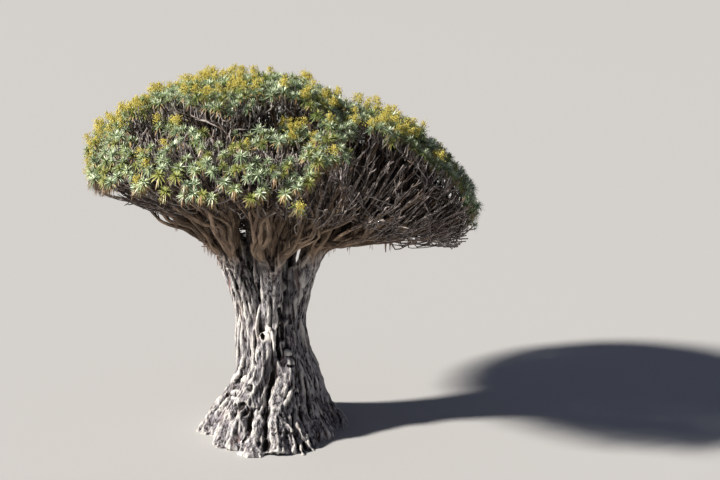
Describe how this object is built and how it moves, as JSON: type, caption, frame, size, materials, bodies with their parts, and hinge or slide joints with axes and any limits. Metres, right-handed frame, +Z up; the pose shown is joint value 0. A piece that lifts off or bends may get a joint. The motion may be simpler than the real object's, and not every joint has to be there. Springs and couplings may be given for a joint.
{
  "type": "dragon blood tree",
  "caption": "Old umbrella-shaped dragon blood tree with a fluted trunk, fanned boughs and a dome of sword leaves, cut flat at the ground.",
  "frame": {"origin": "middle of the flat cut under the trunk, at ground level", "axes": "+Z up the trunk; +X along the crown's widest spread, to the right as seen from the front; -Y is the front, with the two knobbed root columns"},
  "size_m": [18.4569, 17.5369, 16.5165],
  "materials": {
    "trunk_bark": "rough weathered bark",
    "bough_bark": "rough bark",
    "foliage": "waxy sword leaves on grey twigs"
  },
  "bodies": {
    "root": {"trunk": "trunk_bark", "bough_crest": "bough_bark", "bough_rim_01": "bough_bark", "bough_rim_02": "bough_bark", "bough_rim_03": "bough_bark", "bough_rim_04": "bough_bark", "bough_rim_05": "bough_bark", "bough_rim_06": "bough_bark", "bough_rim_07": "bough_bark", "bough_rim_08": "bough_bark", "bough_rim_09": "bough_bark", "bough_rim_10": "bough_bark", "bough_rim_11": "bough_bark", "bough_rim_12": "bough_bark", "bough_rim_13": "bough_bark", "bough_rim_14": "bough_bark", "bough_shoulder_01": "bough_bark", "bough_shoulder_02": "bough_bark", "bough_shoulder_03": "bough_bark", "bough_shoulder_04": "bough_bark", "bough_shoulder_05": "bough_bark", "bough_shoulder_06": "bough_bark", "bough_shoulder_07": "bough_bark", "bough_top_01": "bough_bark", "bough_top_02": "bough_bark", "bough_top_03": "bough_bark", "bough_top_04": "bough_bark", "foliage_crest": "foliage", "foliage_rim_01": "foliage", "foliage_rim_02": "foliage", "foliage_rim_03": "foliage", "foliage_rim_04": "foliage", "foliage_rim_05": "foliage", "foliage_rim_06": "foliage", "foliage_rim_07": "foliage", "foliage_rim_08": "foliage", "foliage_rim_09": "foliage", "foliage_rim_10": "foliage", "foliage_rim_11": "foliage", "foliage_rim_12": "foliage", "foliage_rim_13": "foliage", "foliage_rim_14": "foliage", "foliage_shoulder_01": "foliage", "foliage_shoulder_02": "foliage", "foliage_shoulder_03": "foliage", "foliage_shoulder_04": "foliage", "foliage_shoulder_05": "foliage", "foliage_shoulder_06": "foliage", "foliage_shoulder_07": "foliage", "foliage_top_01": "foliage", "foliage_top_02": "foliage", "foliage_top_03": "foliage", "foliage_top_04": "foliage"}
  },
  "joints": []
}
